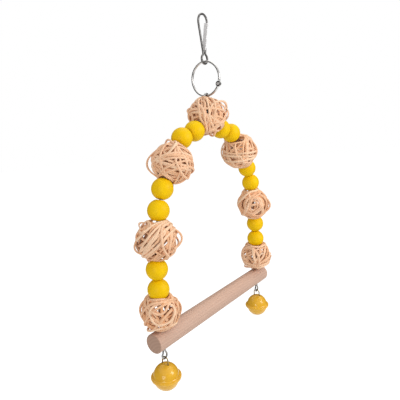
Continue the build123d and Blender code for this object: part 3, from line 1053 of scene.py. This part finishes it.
@dataclass
class StringOfPieces:
    """The rattan balls and wooden beads that are strung on one leg of the arch.

    Attributes:
        side: Which leg.
        joints: The frame's joints by the body that they move.
    """

    side: Side
    joints: dict[str, dict]
    beads: int = 6
    bead_radius: float = 7.5
    ball_radius: float = 16.25
    lower_ball_radius: float = 15.25
    perch_radius: float = 7.0

    def place(self, name: str) -> Vector:
        """Return the middle of one of the leg's pieces in millimetres."""
        return Vector(self.joints[f"{self.side.value}_{name}"]["pos_m"]) / MM

    def mouth(self, ball: Vector, bead: str) -> Mouth:
        """Return the opening of a ball that a bead sits in."""
        reach = self.place(bead) - ball
        return Mouth(reach.normalized(), Stopper.BEAD, reach.length, self.bead_radius)

    def build(self, nodes: dict[str, Object], perch_height: float) -> None:
        """Weave the leg's balls and paint its beads.

        Args:
            nodes: The frame's objects by node name.
            perch_height: Height of the perch's axis in millimetres.
        """
        low = self.place("lower_ball")
        on_perch = Mouth(Vector((0, 0, -1)), Stopper.PERCH, low.z - perch_height - self.perch_radius)
        self.ball("lower_ball", self.lower_ball_radius, [on_perch, self.mouth(low, "bead_1")])
        for name, below, above in (("middle_ball", "bead_2", "bead_3"), ("upper_ball", "bead_4", "bead_5")):
            middle = self.place(name)
            self.ball(name, self.ball_radius, [self.mouth(middle, below), self.mouth(middle, above)])
        for number in range(1, self.beads + 1):
            dress(nodes[f"{self.side.value}_bead_{number}"], BEAD_PAINT)

    def ball(self, name: str, radius: float, mouths: list[Mouth]) -> None:
        """Build one ball of the leg."""
        node = f"{self.side.value}_{name}"
        RattanBall(node, node, self.place(name), radius, mouths, WEAVES[node]).build()


@dataclass
class TopBall:
    """The rattan ball at the top of the arch, between the last beads of the two legs."""

    legs: list[StringOfPieces]
    bead_distance: float = 19.75
    slot_half_length: float = 7.0
    slot_half_width: float = 2.4

    def build(self) -> None:
        """Weave the ball over the two beads, round the slot that the ring's lower wire lies in."""
        leg = self.legs[0]
        bead = leg.place("bead_6")
        middle = Vector((0, 0, bead.z + math.sqrt(self.bead_distance**2 - bead.x**2)))
        mouths = [each.mouth(middle, "bead_6") for each in self.legs]
        mouths.append(Mouth(Vector((0, 0, 1)), Stopper.RING, self.slot_half_length, self.slot_half_width))
        RattanBall("top_ball", "swing", middle, leg.ball_radius, mouths, WEAVES["top_ball"]).build()


def dress(node: Object, finish: Finish) -> None:
    """Give a CAD node's object a finish in place of its plain one."""
    node.data.materials.clear()
    node.data.materials.append(finish.material())
    LOG.info("%s: %s", node.name, finish.name)


def dress_hardware(nodes: dict[str, Object], perch_wood: PerchFinish) -> None:
    """Give the metal, the perch and the bells, which keep their CAD shapes, their finishes."""
    finishes = {
        "perch": perch_wood,
        "arch_wire": ARCH_STEEL,
        "ring_upper_half": RING_STEEL,
        "ring_lower_half": RING_STEEL,
        "ring_hinge_pin": PIN_STEEL,
        "clip_wire": CLIP_STEEL,
        "clip_gate": LEAF_STEEL,
    }
    bell = {"cap": BELL_PAINT, "cup": BELL_PAINT, "loop": BELL_WIRE, "pellet": PELLET_STEEL}
    for side in Side:
        finishes.update({f"{side.value}_bell_{piece}": finish for piece, finish in bell.items()})
    for name, finish in finishes.items():
        dress(nodes[name], finish)


@dataclass
class Studio:
    """A pale floor far below the swing, soft light and the photograph's camera."""

    camera_place: Triple = (-247.11, -180.21, -69.39)
    camera_turn: Triple = (78.779, 3.174, -52.827)
    lens: float = 36.0
    nearest: float = 10.0
    middle: Triple = (0.0, 0.0, -130.0)
    floor_height: float = -700.0
    floor_size: float = 12000.0
    floor_colour: Colour = (0.86, 0.86, 0.86)
    floor_glow: float = 0.62
    sky_strength: float = 0.52
    band_colour: Colour = (0.01, 0.01, 0.01)
    band_radius: float = 1200.0
    band_height: float = 1300.0
    band_segments: int = 64

    def build(self) -> None:
        """Set up everything that isn't part of the swing."""
        bpy.context.scene.view_settings.view_transform = "Standard"
        self.camera()
        self.world()
        self.floor()
        self.lamp("front", turn=-17.0, rise=6.0, distance=900.0, size=400.0, power=2.6)
        self.lamp("side", turn=71.0, rise=20.0, distance=600.0, size=270.0, power=2.2)
        self.lamp("top", turn=150.0, rise=70.0, distance=900.0, size=800.0, power=3.0)
        self.dark_band()

    def camera(self) -> None:
        """Place the camera as the photograph's was."""
        data = bpy.data.cameras.new("camera")
        data.lens, data.sensor_width = self.lens, self.lens
        data.clip_start, data.clip_end = self.nearest * MM, 2 * self.floor_size * MM
        camera = placed("camera", data)
        camera.location = Vector(self.camera_place) * MM
        camera.rotation_euler = [math.radians(angle) for angle in self.camera_turn]
        bpy.context.scene.camera = camera

    def world(self) -> None:
        """Light the swing evenly and show white behind it."""
        world = bpy.data.worlds.new("studio")
        bpy.context.scene.world = world
        world.use_nodes = True
        tree = Tree(world.node_tree)
        sky, shown = (
            tree.add("Background", {"Color": WHITE, "Strength": strength}).outputs["Background"]
            for strength in (self.sky_strength, 1.0)
        )
        mix = tree.add("MixShader", {"Fac": tree.seen(), 1: sky, 2: shown})
        tree.add("OutputWorld", {"Surface": mix.outputs["Shader"]})

    def floor(self) -> None:
        """Lay a pale floor that shows white and keeps the swing's shadow."""
        bm = bmesh.new()
        bmesh.ops.create_grid(bm, x_segments=8, y_segments=8, size=self.floor_size / 2 * MM)
        bmesh.ops.translate(bm, vec=(0, 0, self.floor_height * MM), verts=bm.verts)
        floor = placed("floor", filled_mesh("floor", bm))
        material, tree = blank_material("pale_floor")
        lit = tree.add("BsdfDiffuse", {"Color": (*self.floor_colour, 1)})
        strength = tree.math("MULTIPLY", tree.seen(), self.floor_glow)
        glow = tree.add("Emission", {"Color": WHITE, "Strength": strength})
        both = tree.add("AddShader", {0: lit.outputs["BSDF"], 1: glow.outputs["Emission"]})
        tree.add("OutputMaterial", {"Surface": both.outputs["Shader"]})
        floor.data.materials.append(material)

    def towards(self, turn: float, rise: float) -> Vector:
        """Return a direction by its degrees to the right of the camera and above the horizon."""
        camera = Vector(self.camera_place) - Vector(self.middle)
        heading = math.atan2(camera.y, camera.x) + math.radians(turn)
        flat = math.cos(math.radians(rise))
        return Vector((flat * math.cos(heading), flat * math.sin(heading), math.sin(math.radians(rise))))

    def dark_band(self) -> None:
        """Stand a dark band round the swing, which only the reflections on its metal and paint show."""
        bm = bmesh.new()
        bmesh.ops.create_cone(
            bm,
            cap_ends=False,
            segments=self.band_segments,
            radius1=self.band_radius * MM,
            radius2=self.band_radius * MM,
            depth=self.band_height * MM,
            matrix=Matrix.Translation(Vector(self.middle) * MM),
        )
        band = placed("dark_band", filled_mesh("dark_band", bm))
        band.visible_camera = band.visible_diffuse = band.visible_shadow = False
        material, tree = blank_material("dark_band")
        dark = tree.add("BsdfDiffuse", {"Color": (*self.band_colour, 1)})
        tree.add("OutputMaterial", {"Surface": dark.outputs["BSDF"]})
        band.data.materials.append(material)

    def lamp(self, name: str, turn: float, rise: float, distance: float, size: float, power: float) -> None:
        """Hang a soft square lamp that points at the swing.

        Args:
            name: The lamp's name.
            turn: Degrees to the right of the camera, seen from above.
            rise: Degrees above the horizon.
            distance: From the swing's middle.
            size: Side of the lamp.
            power: In watts.
        """
        data = bpy.data.lights.new(name, "AREA")
        data.shape, data.size, data.energy = "SQUARE", size * MM, power
        lamp = placed(name, data)
        way = self.towards(turn, rise)
        lamp.location = (Vector(self.middle) + way * distance) * MM
        lamp.rotation_euler = (-way).to_track_quat("-Z", "Y").to_euler()


def main() -> None:
    """Build the swing's looks, piece by piece."""
    logging.basicConfig(level=logging.INFO, format="%(message)s")
    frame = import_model()
    joints = {joint["child"]: joint for joint in frame["joints"]}
    perch_low, perch_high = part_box("perch")
    perch_height = (perch_low.z + perch_high.z) / 2 / MM
    perch_wood = PerchFinish(half_length=perch_high.x / MM, axis_height=perch_height)

    legs = [StringOfPieces(side, joints) for side in Side]
    for leg in legs:
        leg.build(frame["nodes"], perch_height)
    TopBall(legs).build()
    dress_hardware(frame["nodes"], perch_wood)
    Studio().build()


if __name__ == "__main__":
    main()
